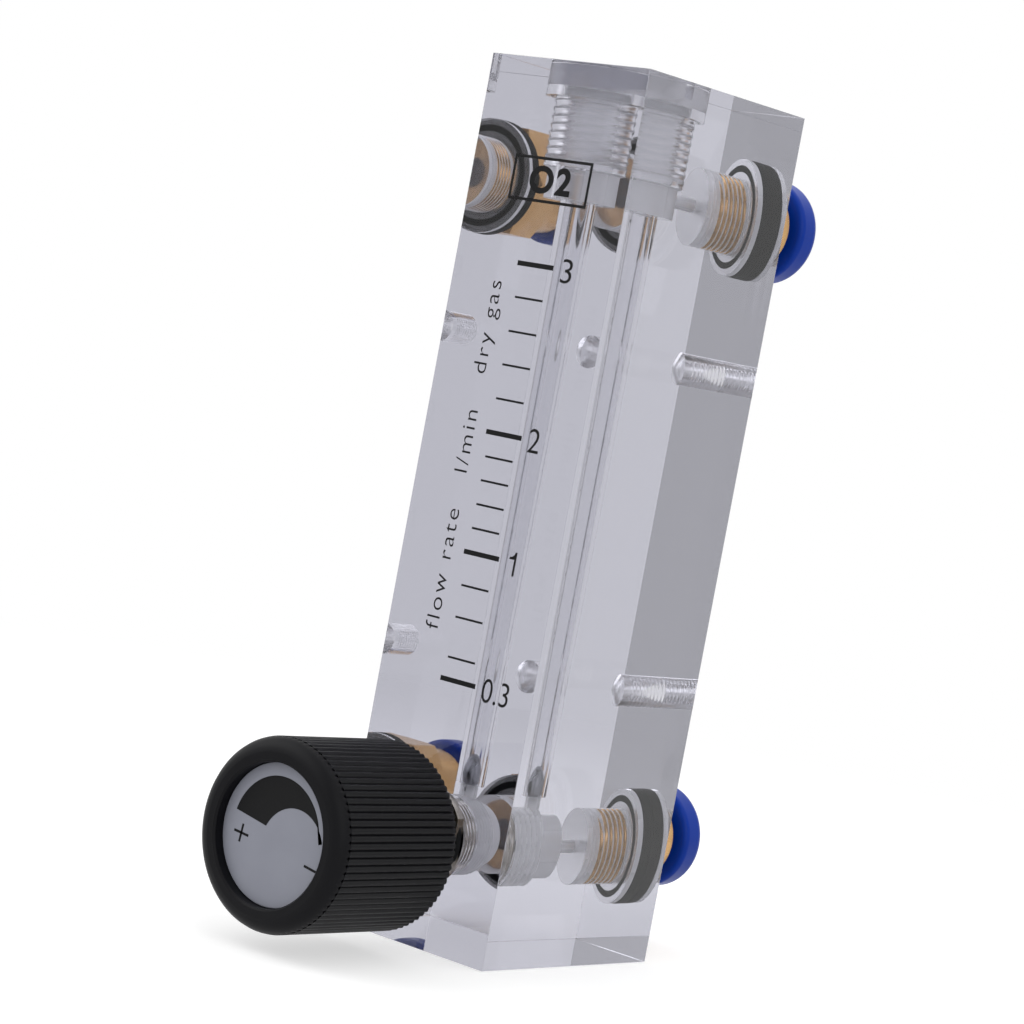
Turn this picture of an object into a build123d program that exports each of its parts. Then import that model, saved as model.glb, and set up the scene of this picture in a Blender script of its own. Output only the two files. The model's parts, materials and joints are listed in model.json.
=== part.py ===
from build123d import *
import math
import os

# Flow meter cut from one clear acrylic block: gas enters the lower port at the back, passes the needle
# valve, lifts the float in the tapered bore and leaves by the upper port at the back.
# Millimetres. The origin is the centre of the block's bottom face, +Z is up, +X is to the right of
# the person who reads the scale, and +Y runs from the knob to the back.

# Block
block_width = 25.0
block_depth = 33.5
block_height = 111.0
block_edge = 0.2

# Axes in the block
port_inset = 14.0
tube_offset = 5.2

# Metering bore and float seat
taper_bottom_radius = 2.1
taper_top_radius = 2.65
seat_bore_radius = 1.3
seat_rise = 6.5

# Upper chamber and its plug
upper_chamber_radius = 5.2
upper_chamber_drop = 2.6
upper_chamber_rise = 1.4
plug_thread_radius = 6.0
plug_head_radius = 7.5
plug_head_height = 2.8
plug_seal_section = 1.2
plug_slot_width = 1.6
plug_slot_depth = 1.8

# Passages and ports
passage_radius = 0.85
port_thread_radius = 4.95
port_tap_depth = 12.25
port_counterbore_radius = 7.6
port_counterbore_depth = 3.35
drill_point_angle = 118.0

# Valve bore
valve_thread_radius = 5.0
valve_tap_depth = 12.15
valve_chamber_radius = 4.1
valve_chamber_depth = 16.45
orifice_radius = 0.6
orifice_length = 2.1

# Blind tapped holes for the panel screws
panel_hole_radius = 2.1
panel_hole_depth = 8.8
panel_hole_spacing = 42.0

# Float
float_radius = 1.95
float_foot_radius = 1.4
float_body_height = 3.7
float_widest_height = 1.0
float_neck_radius = 0.5
float_tail_radius = 1.05
float_tail_length = 1.0
float_disc_height = 0.4

# Valve bushing
bushing_insert = 6.75
bushing_flange_radius = 6.4
bushing_flange_thickness = 1.2
bushing_flat_width = 11.0
bushing_nose_radius = 4.5
bushing_nose_length = 5.2
bushing_stem_thread_length = 4.3
bushing_seal_section = 0.9

# Valve stem
stem_thread_radius = 3.0
stem_bore_radius = 3.1
stem_shank_radius = 2.95
stem_neck_radius = 1.2
stem_neck_length = 2.8
stem_shoulder_length = 1.7
needle_tip_radius = 0.3
needle_length = 2.7
needle_travel = 6.3
stem_thread_length = 10.6
stem_end_radius = 2.4
stem_end_length = 10.3
stem_flat_depth = 0.5
stem_ring_section = 0.9
stem_ring_groove_play = 0.4

# Knob, screw and label
knob_radius = 11.65
knob_length = 20.9
knob_gap = 7.85
knob_rim_round = 1.1
knob_back_edge = 0.4
knob_rib_count = 80
knob_rib_depth = 0.32
knob_groove_width = 0.46
knob_rib_start = 1.3
knob_recess_radius = 5.2
knob_recess_depth = 6.2
knob_hub_radius = 7.0
knob_wall = 1.8
knob_pocket_depth = 13.0
knob_web_count = 4
knob_web_thickness = 1.2
label_radius = 8.55
label_thickness = 0.3
label_depth = 1.4
screw_radius = 1.5
screw_head_radius = 2.75
screw_head_height = 1.7
screw_length = 8.0
screw_slot_width = 0.8
screw_slot_depth = 0.8
screw_pocket_depth = 2.2

# Push-in fittings
fitting_thread_length = 9.45
fitting_hex_width = 14.0
fitting_hex_length = 5.25
fitting_neck_radius = 5.8
fitting_neck_length = 6.0
fitting_edge = 0.5
flow_bore_radius = 2.0
tube_bore_radius = 3.1
tube_pocket_length = 6.5
tube_stop_depth = 3.5
fitting_cavity_radius = 4.75
tube_seal_section = 1.6
spacer_length = 0.85
claw_thickness = 0.25
claw_reach = 1.0
claw_count = 8
claw_slot_width = 0.55
claw_rim = 0.55
holder_wall = 0.55
collar_sleeve_wall = 0.8
collar_radius = 7.0
collar_flange_thickness = 4.05
collar_front_round = 0.8
collar_back_round = 1.3
collar_travel = 0.9

# Clearances
thread_clearance = 0.05
running_clearance = 0.05
seat_clearance = 0.02
ring_clearance = 0.03
free_clearance = 0.3

# Places that follow from the sizes
front_face = -block_depth / 2
back_face = block_depth / 2
inlet_height = port_inset
outlet_height = block_height - port_inset
tube_y = -tube_offset
seat_height = inlet_height + seat_rise
taper_top_height = outlet_height - upper_chamber_drop
plug_bottom_height = outlet_height + upper_chamber_rise
plug_head_bottom = block_height - plug_head_height
plug_counterbore_floor = plug_head_bottom - plug_seal_section
port_floor = back_face - port_tap_depth
valve_chamber_end = front_face + valve_chamber_depth
needle_entry = needle_length * (orifice_radius - needle_tip_radius) / (stem_neck_radius - needle_tip_radius)
needle_tip = valve_chamber_end + needle_entry - running_clearance - needle_travel
knob_back = front_face - knob_gap
knob_front = knob_back - knob_length


def turned_along_y(profile):
    """Solid of revolution about the Y axis from (radius, y) points."""
    outline = Polyline([(radius, y, 0) for radius, y in profile], close=True)
    return revolve(make_face(outline), Axis.Y)


def turned_along_z(profile):
    """Solid of revolution about the Z axis from (radius, z) points."""
    outline = Polyline([(radius, 0, z) for radius, z in profile], close=True)
    return revolve(make_face(outline), Axis.Z)


def rod_along_y(radius, start, end):
    """Plain cylinder on the Y axis between two stations."""
    return turned_along_y([(0, start), (radius, start), (radius, end), (0, end)])


def ring_along_y(inner_radius, outer_radius, start, end):
    """Plain ring on the Y axis between two stations."""
    return turned_along_y(
        [(inner_radius, start), (outer_radius, start), (outer_radius, end), (inner_radius, end)]
    )


def seal_along_y(inner_radius, outer_radius, start, end):
    """Rubber ring squeezed between two faces: a rounded rectangle turned about the Y axis."""
    width = outer_radius - inner_radius
    height = end - start
    middle = Pos((inner_radius + outer_radius) / 2, (start + end) / 2)
    return revolve(middle * RectangleRounded(width, height, 0.45 * min(width, height)), Axis.Y)


def drilled_along_y(radius, mouth, floor):
    """Drilled hole from its mouth to its floor, with the cone that the drill's point leaves."""
    point = radius / math.tan(math.radians(drill_point_angle / 2))
    tip = floor + math.copysign(point, floor - mouth)
    return turned_along_y([(0, mouth), (radius, mouth), (radius, floor), (0, tip)])


def on_valve_axis(solid):
    return Pos(0, 0, inlet_height) * solid


def on_tube_axis(solid):
    return Pos(0, tube_y, 0) * solid


def metering_bore():
    """Tapered bore, float seat and the passage down to the valve chamber."""
    return on_tube_axis(
        turned_along_z(
            [
                (0, inlet_height),
                (seat_bore_radius, inlet_height),
                (seat_bore_radius, seat_height),
                (taper_bottom_radius, seat_height),
                (taper_top_radius, taper_top_height),
                (0, taper_top_height),
            ]
        )
    )


def plug_bore():
    """Upper chamber, the tapped length above it and the counterbore for the plug's head."""
    tapped_radius = plug_thread_radius + thread_clearance
    head_bore_radius = plug_head_radius + thread_clearance
    return on_tube_axis(
        turned_along_z(
            [
                (0, taper_top_height),
                (upper_chamber_radius, taper_top_height),
                (upper_chamber_radius, plug_bottom_height),
                (tapped_radius, plug_bottom_height),
                (tapped_radius, plug_counterbore_floor),
                (head_bore_radius, plug_counterbore_floor),
                (head_bore_radius, block_height),
                (0, block_height),
            ]
        )
    )


def valve_bore():
    """Tapped bore for the bushing, the needle's chamber, the orifice and the inlet passage."""
    orifice_end = valve_chamber_end + orifice_length
    tapped_radius = valve_thread_radius + thread_clearance
    return on_valve_axis(
        turned_along_y(
            [
                (0, front_face),
                (tapped_radius, front_face),
                (tapped_radius, front_face + valve_tap_depth),
                (valve_chamber_radius, front_face + valve_tap_depth),
                (valve_chamber_radius, valve_chamber_end),
                (orifice_radius, valve_chamber_end),
                (orifice_radius, orifice_end),
                (passage_radius, orifice_end),
                (passage_radius, port_floor),
                (0, port_floor),
            ]
        )
    )


def port_bore():
    """Tapped port with the counterbore that holds the face seal."""
    tapped_radius = port_thread_radius + thread_clearance
    counterbore_floor = back_face - port_counterbore_depth
    return turned_along_y(
        [
            (0, port_floor),
            (tapped_radius, port_floor),
            (tapped_radius, counterbore_floor),
            (port_counterbore_radius, counterbore_floor),
            (port_counterbore_radius, back_face),
            (0, back_face),
        ]
    )


def acrylic_block():
    block = Pos(0, 0, block_height / 2) * Box(block_width, block_depth, block_height)
    block = chamfer(block.edges(), block_edge)
    outlet_passage = rod_along_y(passage_radius, tube_y, port_floor)
    panel_hole = drilled_along_y(panel_hole_radius, back_face, back_face - panel_hole_depth)
    cuts = [metering_bore(), plug_bore(), valve_bore(), Pos(0, 0, outlet_height) * outlet_passage]
    cuts += [Pos(0, 0, height) * port_bore() for height in (inlet_height, outlet_height)]
    for side in (-1, 1):
        cuts.append(Pos(0, 0, block_height / 2 + side * panel_hole_spacing / 2) * panel_hole)
    return block - cuts


def top_plug():
    """Screw plug with a slotted head that lies flush with the block's top face."""
    lead = 0.1 * plug_thread_radius
    plug = turned_along_z(
        [
            (0, plug_bottom_height),
            (plug_thread_radius - lead, plug_bottom_height),
            (plug_thread_radius, plug_bottom_height + lead),
            (plug_thread_radius, plug_head_bottom),
            (plug_head_radius, plug_head_bottom),
            (plug_head_radius, block_height),
            (0, block_height),
        ]
    )
    slot_middle = block_height - plug_slot_depth / 2
    slot = Pos(0, 0, slot_middle) * Box(2 * plug_head_radius, plug_slot_width, plug_slot_depth)
    return on_tube_axis(plug - slot)


def top_plug_seal():
    """Silicone ring in the counterbore, squeezed by the plug's head."""
    middle_radius = plug_thread_radius + plug_seal_section / 2
    middle_height = (plug_head_bottom + plug_counterbore_floor) / 2
    ring = Pos(0, 0, middle_height) * Torus(middle_radius, plug_seal_section / 2)
    return on_tube_axis(ring)


def quarter_oval(middle_radius, middle_height, width, height):
    """Quarter of an oval of (radius, z), from its side to its top, or to its foot at a height below zero."""
    diagonal = math.sqrt(0.5)
    points = [
        (middle_radius + width, middle_height),
        (middle_radius + diagonal * width, middle_height + diagonal * height),
        (middle_radius, middle_height + height),
    ]
    return Spline(points, tangents=[(0, math.copysign(1, height)), (-1, 0)])


def meter_float():
    """Egg-shaped body, blunt below its widest ring, on a slim neck whose disc centres it over the seat."""
    body_foot = seat_height + seat_clearance
    widest = body_foot + float_widest_height
    body_top = body_foot + float_body_height
    tail_foot = body_foot - float_tail_length
    disc_top = tail_foot + float_disc_height
    nose = quarter_oval(0, widest, float_radius, body_top - widest)
    belly = quarter_oval(float_foot_radius, widest, float_radius - float_foot_radius, -float_widest_height)
    tail = Polyline(
        (0, body_top),
        (0, tail_foot),
        (float_tail_radius, tail_foot),
        (float_tail_radius, disc_top),
        (float_neck_radius, disc_top),
        (float_neck_radius, body_foot),
        (float_foot_radius, body_foot),
    )
    section = Plane.XZ * make_face([nose, belly, tail])
    return on_tube_axis(revolve(section, Axis.Z))


def valve_bushing():
    """Threaded bushing with a flange for a spanner, a nose, a smooth gland and the stem's thread."""
    inner_end = front_face + bushing_insert
    flange_front = front_face - bushing_flange_thickness
    nose_front = flange_front - bushing_nose_length
    gland_front = nose_front + bushing_stem_thread_length
    lead = 0.1 * valve_thread_radius
    groove_radius = valve_thread_radius + bushing_seal_section + ring_clearance
    bushing = turned_along_y(
        [
            (stem_bore_radius, inner_end),
            (valve_thread_radius - lead, inner_end),
            (valve_thread_radius, inner_end - lead),
            (valve_thread_radius, front_face - bushing_seal_section),
            (groove_radius, front_face - bushing_seal_section),
            (groove_radius, front_face),
            (bushing_flange_radius, front_face),
            (bushing_flange_radius, flange_front),
            (bushing_nose_radius, flange_front),
            (bushing_nose_radius, nose_front),
            (stem_thread_radius + thread_clearance, nose_front),
            (stem_thread_radius + thread_clearance, gland_front),
            (stem_bore_radius, gland_front),
        ]
    )
    flange_middle = front_face - bushing_flange_thickness / 2
    for side in (-1, 1):
        waste = Box(bushing_flange_radius, bushing_flange_thickness, 2 * bushing_flange_radius)
        bushing -= Pos(side * (bushing_flat_width + bushing_flange_radius) / 2, flange_middle, 0) * waste
    return on_valve_axis(bushing)


def bushing_seal():
    """Rubber ring in the groove under the bushing's flange, pressed on the block's front face."""
    middle_radius = valve_thread_radius + bushing_seal_section / 2
    middle = front_face - bushing_seal_section / 2
    section = Pos(middle_radius, middle) * Circle(bushing_seal_section / 2)
    return on_valve_axis(revolve(section, Axis.Y))


def stem_stations():
    """Stations of the valve stem along Y, from the needle's tip outwards to the knob."""
    needle_root = needle_tip - needle_length
    shoulder_back = needle_root - stem_neck_length
    shank_back = shoulder_back - stem_shoulder_length
    bushing_nose = front_face - bushing_flange_thickness - bushing_nose_length
    thread_back = bushing_nose + bushing_stem_thread_length
    thread_front = thread_back - stem_thread_length
    return needle_root, shoulder_back, shank_back, thread_back, thread_front, thread_front - stem_end_length


def ring_station():
    """Middle of the stem's ring groove along Y, at rest: still inside the bushing when the valve is shut."""
    return front_face + bushing_insert - needle_travel - stem_ring_section


def valve_stem():
    """Needle, neck, sealed shank with a ring groove, thread, and an end with one flat for the knob."""
    needle_root, shoulder_back, shank_back, thread_back, thread_front, outer_end = stem_stations()
    groove_half = (stem_ring_section + stem_ring_groove_play) / 2
    groove_middle = ring_station()
    groove_radius = stem_bore_radius - running_clearance - stem_ring_section - ring_clearance
    stem = turned_along_y(
        [
            (0, needle_tip),
            (needle_tip_radius, needle_tip),
            (stem_neck_radius, needle_root),
            (stem_neck_radius, shoulder_back),
            (stem_shank_radius, shank_back),
            (stem_shank_radius, groove_middle + groove_half),
            (groove_radius, groove_middle + groove_half),
            (groove_radius, groove_middle - groove_half),
            (stem_shank_radius, groove_middle - groove_half),
            (stem_shank_radius, thread_back),
            (stem_thread_radius, thread_back),
            (stem_thread_radius, thread_front),
            (stem_end_radius, thread_front),
            (stem_end_radius, outer_end),
            (0, outer_end),
        ]
    )
    flat_middle = (thread_front + outer_end) / 2
    flat_height = stem_end_radius - stem_flat_depth
    waste = Box(2 * stem_end_radius, stem_end_length, stem_flat_depth)
    stem -= Pos(0, flat_middle, flat_height + stem_flat_depth / 2) * waste
    stem -= rod_along_y(screw_radius + thread_clearance, outer_end, screw_end() + free_clearance)
    return on_valve_axis(stem)


def stem_ring():
    """Rubber ring in the stem's groove, running in the bushing's smooth bore."""
    middle_radius = stem_bore_radius - running_clearance - stem_ring_section / 2
    section = Pos(middle_radius, ring_station()) * Circle(stem_ring_section / 2)
    return on_valve_axis(revolve(section, Axis.Y))


def label_back():
    return knob_front + label_depth + label_thickness


def screw_seat():
    return label_back() + screw_pocket_depth


def screw_end():
    return screw_seat() + screw_length


def grip_waste():
    """V grooves between the knob's ribs, from behind the rim out past the back edge."""
    bottom = knob_radius - knob_rib_depth
    above = knob_radius + knob_rib_depth
    corners = [(bottom, 0), (above, knob_groove_width), (above, -knob_groove_width)]
    groove = make_face(Polyline(corners, close=True))
    grooves = Sketch() + PolarLocations(0, knob_rib_count) * groove
    start = knob_front + knob_rib_start
    # The sketch's normal is turned to +Y, so that the grooves are as long as the ribs.
    return Plane((0, start, 0), x_dir=(1, 0, 0), z_dir=(0, 1, 0)) * extrude(grooves, knob_back - start)


def knob():
    """Ribbed knob: a recess for the label, a hub on the stem's end and a hollow back with webs."""
    outer_end = stem_stations()[-1]
    rim_radius = label_radius + thread_clearance
    blank = turned_along_y(
        [
            (0, knob_back),
            (0, label_back()),
            (rim_radius, label_back()),
            (rim_radius, knob_front),
            (knob_radius, knob_front),
            (knob_radius, knob_back),
        ]
    )
    front_edge = blank.edges().filter_by(GeomType.CIRCLE).group_by(Axis.Y)[0].sort_by(SortBy.RADIUS)[-1]
    blank = fillet(front_edge, knob_rim_round)
    back_edge = blank.edges().filter_by(GeomType.CIRCLE).group_by(Axis.Y)[-1].sort_by(SortBy.RADIUS)[-1]
    blank = chamfer(back_edge, knob_back_edge)

    recess = rod_along_y(knob_recess_radius, knob_back - knob_recess_depth, knob_back)
    pocket = ring_along_y(knob_hub_radius, knob_radius - knob_wall, knob_back - knob_pocket_depth, knob_back)
    web_start = knob_hub_radius - knob_web_thickness
    web_reach = knob_radius - web_start
    web_middle = knob_back - knob_pocket_depth / 2
    for turn in range(knob_web_count):
        web = Box(web_reach, knob_pocket_depth, knob_web_thickness)
        web = Pos(web_start + web_reach / 2, web_middle, 0) * web
        pocket -= Rot(0, 360 / knob_web_count * (turn + 0.5), 0) * web

    stem_bore = rod_along_y(stem_end_radius + running_clearance, outer_end, knob_back - knob_recess_depth)
    flat_height = stem_end_radius - stem_flat_depth + running_clearance
    bore_middle = (outer_end + knob_back - knob_recess_depth) / 2
    bore_length = knob_back - knob_recess_depth - outer_end
    stem_bore -= Pos(0, bore_middle, flat_height + stem_end_radius / 2) * Box(
        2 * stem_end_radius, bore_length, stem_end_radius
    )
    screw_pocket = rod_along_y(screw_head_radius + free_clearance, label_back(), screw_seat())
    screw_hole = rod_along_y(screw_radius + running_clearance, screw_seat(), outer_end)
    return on_valve_axis(blank - [recess, pocket, stem_bore, screw_pocket, screw_hole, grip_waste()])


def knob_label():
    """Thin disc in the knob's front recess."""
    return on_valve_axis(rod_along_y(label_radius, knob_front + label_depth, label_back()))


def knob_screw():
    """Slotted pan-head screw that holds the knob on the stem's end."""
    head_front = screw_seat() - screw_head_height
    screw = turned_along_y(
        [
            (0, screw_end()),
            (screw_radius, screw_end()),
            (screw_radius, screw_seat()),
            (screw_head_radius, screw_seat()),
            (screw_head_radius, head_front + screw_head_height / 3),
            (screw_head_radius - screw_head_height / 3, head_front),
            (0, head_front),
        ]
    )
    slot = Box(2 * screw_head_radius, screw_slot_depth, screw_slot_width)
    return on_valve_axis(screw - Pos(0, head_front + screw_slot_depth / 2, 0) * slot)


# Stations of a push-in fitting along Y, counted from the block's back face
neck_start = fitting_hex_length
neck_end = neck_start + fitting_neck_length
tube_stop = -tube_stop_depth
cavity_start = tube_stop + tube_pocket_length
spacer_start = cavity_start + tube_seal_section + ring_clearance
claw_tip = spacer_start + spacer_length
claw_rim_start = claw_tip + claw_reach
holder_start = claw_rim_start + claw_thickness
insert_radius = fitting_cavity_radius - ring_clearance
collar_sleeve_radius = tube_bore_radius + collar_sleeve_wall
collar_tip = holder_start + collar_travel
collar_flange_front = neck_end + collar_travel + seat_clearance


def fitting_body():
    """Brass body: thread, hexagon, round neck, and the stepped bore that takes tube, seal and claws."""
    turned = turned_along_y(
        [
            (flow_bore_radius, -fitting_thread_length),
            (port_thread_radius - fitting_edge, -fitting_thread_length),
            (port_thread_radius, fitting_edge - fitting_thread_length),
            (port_thread_radius, neck_start / 2),
            (fitting_neck_radius, neck_start / 2),
            (fitting_neck_radius, neck_end - fitting_edge),
            (fitting_neck_radius - fitting_edge, neck_end),
            (fitting_cavity_radius, neck_end),
            (fitting_cavity_radius, cavity_start),
            (tube_bore_radius, cavity_start),
            (tube_bore_radius, tube_stop),
            (flow_bore_radius, tube_stop),
        ]
    )
    corner_radius = fitting_hex_width / math.sqrt(3)
    corner_cut = corner_radius - fitting_hex_width / 2
    faced = turned_along_y(
        [
            (fitting_cavity_radius + fitting_edge, 0),
            (corner_radius - corner_cut, 0),
            (corner_radius, corner_cut / 2),
            (corner_radius, neck_start - corner_cut / 2),
            (corner_radius - corner_cut, neck_start),
            (fitting_cavity_radius + fitting_edge, neck_start),
        ]
    )
    outline = RegularPolygon(fitting_hex_width / 2, 6, major_radius=False)
    hexagon = Plane((0, 0, 0), x_dir=(1, 0, 0), z_dir=(0, 1, 0)) * extrude(outline, neck_start)
    core = ring_along_y(tube_bore_radius, fitting_cavity_radius + fitting_edge, 0, cavity_start)
    return turned + (faced & hexagon) + core


def port_seal():
    """Rubber ring squeezed in the port's counterbore by the fitting's hexagon."""
    return seal_along_y(
        port_thread_radius + ring_clearance,
        port_counterbore_radius - ring_clearance,
        ring_clearance - port_counterbore_depth,
        -seat_clearance,
    )


def tube_seal():
    """Rubber ring that seals on the tube's outside."""
    return seal_along_y(tube_bore_radius, insert_radius, cavity_start, cavity_start + tube_seal_section)


def seal_spacer():
    """Ring between seal and claws, with a bevel that follows the claws."""
    rim_inner = insert_radius - claw_rim
    bevel_foot = rim_inner - claw_reach
    return turned_along_y(
        [
            (tube_bore_radius, spacer_start),
            (insert_radius, spacer_start),
            (insert_radius, claw_rim_start),
            (rim_inner + claw_thickness, claw_rim_start),
            (max(bevel_foot, tube_bore_radius) + claw_thickness, claw_tip - claw_thickness / 2),
            (tube_bore_radius, claw_tip - claw_thickness / 2),
        ]
    )


def claw_ring():
    """Spring steel ring whose slotted cone leans towards the tube stop, so the tube goes in but not out."""
    rim_inner = insert_radius - claw_rim
    claw_inner = rim_inner - claw_reach
    ring = turned_along_y(
        [
            (insert_radius, claw_rim_start),
            (insert_radius, holder_start),
            (rim_inner, holder_start),
            (claw_inner, claw_tip + claw_thickness),
            (claw_inner, claw_tip),
            (rim_inner, claw_rim_start),
        ]
    )
    slot_reach = rim_inner - tube_bore_radius / 2
    slot_middle = (claw_tip + holder_start) / 2
    for turn in range(claw_count):
        slot = Box(slot_reach, 2 * claw_reach, claw_slot_width)
        slot = Pos(rim_inner - slot_reach / 2, slot_middle, 0) * slot
        ring -= Rot(0, 360 / claw_count * turn, 0) * slot
    return ring


def claw_holder():
    """Brass ring pressed into the body's mouth, which keeps the claws in and guides the collar."""
    return ring_along_y(insert_radius - holder_wall, insert_radius, holder_start, neck_end)


def release_collar():
    """Collar that the thumb presses to free the tube: a sleeve behind the claws and a round flange."""
    collar = turned_along_y(
        [
            (tube_bore_radius, collar_tip),
            (collar_sleeve_radius, collar_tip),
            (collar_sleeve_radius, collar_flange_front),
            (collar_radius, collar_flange_front),
            (collar_radius, collar_flange_front + collar_flange_thickness),
            (tube_bore_radius, collar_flange_front + collar_flange_thickness),
        ]
    )
    rims = collar.edges().filter_by(GeomType.CIRCLE).filter_by(lambda edge: edge.radius > collar_radius - 0.01)
    collar = fillet(rims.sort_by(Axis.Y)[0], collar_front_round)
    rims = collar.edges().filter_by(GeomType.CIRCLE).filter_by(lambda edge: edge.radius > collar_radius - 0.01)
    collar = fillet(rims.sort_by(Axis.Y)[-1], collar_back_round)
    mouth = collar.edges().filter_by(GeomType.CIRCLE).sort_by(Axis.Y)[-1]
    return chamfer(mouth, fitting_edge)


pieces = {
    "acrylic_block": acrylic_block(),
    "top_plug": top_plug(),
    "top_plug_seal": top_plug_seal(),
    "float": meter_float(),
    "valve_bushing": valve_bushing(),
    "bushing_seal": bushing_seal(),
    "valve_stem": valve_stem(),
    "stem_oring": stem_ring(),
    "knob": knob(),
    "knob_label": knob_label(),
    "knob_screw": knob_screw(),
}
fitting_pieces = {
    "fitting_body": fitting_body(),
    "port_seal": port_seal(),
    "tube_seal": tube_seal(),
    "seal_spacer": seal_spacer(),
    "claw_ring": claw_ring(),
    "claw_holder": claw_holder(),
    "release_collar": release_collar(),
}
for port, height in (("inlet", inlet_height), ("outlet", outlet_height)):
    for name, piece in fitting_pieces.items():
        pieces[f"{port}_{name}"] = Pos(0, back_face, height) * piece

os.makedirs("parts", exist_ok=True)
for name, piece in pieces.items():
    export_step(piece, f"parts/{name}.step")
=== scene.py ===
"""Visual model of an oxygen flow meter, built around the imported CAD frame.

Metres in Blender, millimetres in the sizes below. The origin is the centre of the block's foot, +Z is up,
+X is to the reader's right and +Y runs from the knob to the back.
"""

import json
import logging
import math
from collections.abc import Callable, Iterable, Sequence
from dataclasses import dataclass
from enum import Enum

import bmesh
import bpy
from mathutils import Matrix, Vector

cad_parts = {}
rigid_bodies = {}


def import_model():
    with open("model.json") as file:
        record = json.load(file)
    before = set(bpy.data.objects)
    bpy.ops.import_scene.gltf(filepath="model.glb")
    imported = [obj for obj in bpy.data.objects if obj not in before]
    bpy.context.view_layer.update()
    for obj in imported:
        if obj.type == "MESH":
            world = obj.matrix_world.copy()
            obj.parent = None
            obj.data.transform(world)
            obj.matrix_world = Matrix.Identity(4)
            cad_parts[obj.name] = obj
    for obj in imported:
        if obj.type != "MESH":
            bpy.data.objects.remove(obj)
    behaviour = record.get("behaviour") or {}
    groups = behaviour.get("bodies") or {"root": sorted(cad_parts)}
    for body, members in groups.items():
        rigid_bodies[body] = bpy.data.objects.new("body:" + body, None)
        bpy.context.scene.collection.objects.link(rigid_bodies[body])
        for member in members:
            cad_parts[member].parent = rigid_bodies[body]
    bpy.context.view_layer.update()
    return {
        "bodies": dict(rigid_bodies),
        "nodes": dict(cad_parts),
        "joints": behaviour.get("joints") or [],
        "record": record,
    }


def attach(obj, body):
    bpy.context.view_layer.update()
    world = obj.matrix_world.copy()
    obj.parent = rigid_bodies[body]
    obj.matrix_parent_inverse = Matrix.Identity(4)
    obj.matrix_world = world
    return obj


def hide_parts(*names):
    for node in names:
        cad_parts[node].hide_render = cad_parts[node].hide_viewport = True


log = logging.getLogger("flow_meter")

Point = tuple[float, float]
Place = tuple[float, float, float]
Outline = Sequence[Point]
Solid = bmesh.types.BMesh
Tree = bpy.types.NodeTree
Socket = bpy.types.NodeSocket
Material = bpy.types.Material
Values = dict[str | int, object]

MM = 0.001
WELD = 1e-8
CREASE = math.radians(32)
SQUARE = 0.99999
ROUND = 96
STEPS_PER_PITCH = 10
ORIGIN = (0.0, 0.0, 0.0)

# Small distances in mm: how far a cutter stands out past the face that it opens, a thread's run-out to the
# next step, and a gap or lap too small to see
REACH = 1.0
RUN_OUT = 0.02
HAIR = 0.01

# Node settings that come back
SMOOTH = {"interpolation_type": "SMOOTHSTEP"}
COLOURS = {"data_type": "RGBA"}
LARGER = {"operation": "MAXIMUM"}


class Line(Enum):
    """The two directions in which bores run."""

    VALVE = "along Y"
    BORE = "along Z, on the metering bore"


class Port(Enum):
    """The two gas ports, each with the height of its axis in mm."""

    INLET = 14.0
    OUTLET = 97.0

    @property
    def label(self) -> str:
        """Name that the port's CAD nodes start with."""
        return self.name.lower()


class Tooling(Enum):
    """How a face of the acrylic was made, as a share of full tool roughness."""

    POLISHED = 0.0
    REAMED = 0.15
    PRESSED = 0.2
    SCREWED = 0.3
    DRILLED = 0.35
    TAPPED = 0.75


# Places that several pieces share, in mm
TUBE_Y = -5.2
FRONT_Y = -16.75
BACK_Y = -FRONT_Y
BLOCK_HEIGHT = 111.0
VALVE_HEIGHT = Port.INLET.value
STEM_END = -39.75
SCREW_HOLE = 1.55


# Shader helpers


def linear(hex_colour: str) -> tuple[float, float, float, float]:
    """Turns an sRGB hex colour to linear RGBA.

    Args:
        hex_colour: six hex digits with a leading #.

    Returns:
        Linear red, green and blue, with alpha 1.
    """
    parts = [int(hex_colour[i : i + 2], 16) / 255 for i in (1, 3, 5)]
    red, green, blue = (c / 12.92 if c <= 0.04045 else ((c + 0.055) / 1.055) ** 2.4 for c in parts)
    return red, green, blue, 1.0


def add_node(
    tree: Tree, kind: str, settings: Values | None = None, inputs: Values | None = None
) -> bpy.types.Node:
    """Adds a node with its settings, values and links.

    Args:
        tree: the node tree that gets it.
        kind: the node's type name, without the leading ShaderNode.
        settings: properties of the node.
        inputs: a value or a linked output socket for each named or numbered input.

    Returns:
        The node.
    """
    node = tree.nodes.new(f"ShaderNode{kind}")
    for key, value in (settings or {}).items():
        setattr(node, key, value)
    for key, value in (inputs or {}).items():
        if isinstance(value, Socket):
            tree.links.new(value, node.inputs[key])
        else:
            node.inputs[key].default_value = value
    return node


def per_mm(size: float) -> float:
    """Texture scale that makes one feature as large as size, in mm."""
    return 1.0 / (size * MM)


def patches(tree: Tree, place: Socket, size: float, detail: float, tones: tuple[str, str]) -> list[Socket]:
    """Adds soft patches that shade from one colour to another.

    Args:
        tree: the tree that gets them.
        place: the place on the object.
        size: size of a patch in mm.
        detail: how ragged the patches are.
        tones: the two colours.

    Returns:
        The patches as a value from 0 to 1, and as a colour.
    """
    noise = add_node(tree, "TexNoise", inputs={"Vector": place, "Scale": per_mm(size), "Detail": detail})
    share = noise.outputs["Fac"]
    colour = add_node(tree, "Mix", COLOURS, {0: share, 6: linear(tones[0]), 7: linear(tones[1])})
    return [share, colour.outputs[2]]


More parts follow.
